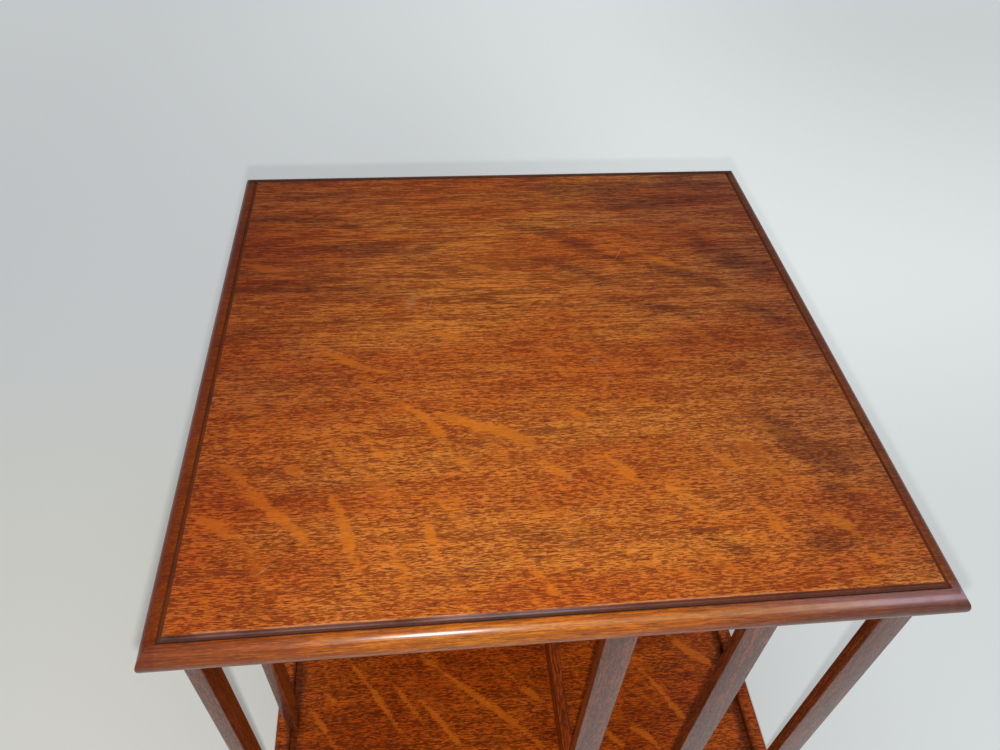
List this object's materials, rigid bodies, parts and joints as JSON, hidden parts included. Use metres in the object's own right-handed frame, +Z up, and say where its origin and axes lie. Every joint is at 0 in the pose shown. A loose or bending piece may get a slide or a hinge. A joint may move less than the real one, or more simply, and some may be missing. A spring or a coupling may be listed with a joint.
{
  "type": "revolving bookcase",
  "caption": "Square revolving bookcase for a table top: two boards joined by upright slats round a casing, turning on a post in a cross-shaped footed base.",
  "frame": {"origin": "on the turning axis, on the surface that the feet stand on", "axes": "+Z up along the turning axis, -Y towards the front side, +X to the right seen from the front"},
  "size_m": [0.35, 0.35, 0.332],
  "materials": {
    "oak_top": "quarter-sawn oak, golden brown, polished satin",
    "oak_shelf": "quarter-sawn oak, red-brown, polished satin",
    "oak_slat": "straight-grained oak, dark brown, waxed",
    "oak_casing": "straight-grained oak, red-brown, waxed",
    "oak_base": "oak, dark brown, waxed, turned and planed",
    "beech_post": "turned beech, unpolished",
    "oak_wedge": "riven oak, bare",
    "brass": "turned brass, dull with age",
    "screw_brass": "slotted brass screws, dull",
    "steel": "bright turned steel, lightly oiled"
  },
  "bodies": {
    "base": {"bearer_under": "oak_base", "bearer_over": "oak_base", "foot_front_right": "oak_base", "foot_back_right": "oak_base", "foot_back_left": "oak_base", "foot_front_left": "oak_base", "base_collar": "oak_base", "post": "beech_post", "post_wedge": "oak_wedge", "pivot_pin": "steel"},
    "carcass": {"top_board": "oak_top", "bottom_board": "oak_shelf", "slat_front_1": "oak_slat", "slat_front_2": "oak_slat", "slat_front_3": "oak_slat", "slat_right_1": "oak_slat", "slat_right_2": "oak_slat", "slat_right_3": "oak_slat", "slat_back_1": "oak_slat", "slat_back_2": "oak_slat", "slat_back_3": "oak_slat", "slat_left_1": "oak_slat", "slat_left_2": "oak_slat", "slat_left_3": "oak_slat", "casing_board_front": "oak_casing", "casing_board_right": "oak_casing", "casing_board_back": "oak_casing", "casing_board_left": "oak_casing", "rail_front": "oak_casing", "rail_right": "oak_casing", "rail_back": "oak_casing", "rail_left": "oak_casing", "pivot_cup": "brass", "pivot_cup_screws": "screw_brass", "guide_ring": "brass", "guide_ring_screws": "screw_brass"}
  },
  "joints": [
    {"name": "revolve", "type": "hinge", "parent": "base", "child": "carcass", "pos_m": [0, 0, 0.0555], "axis": [0, 0, 1], "continuous": true}
  ]
}
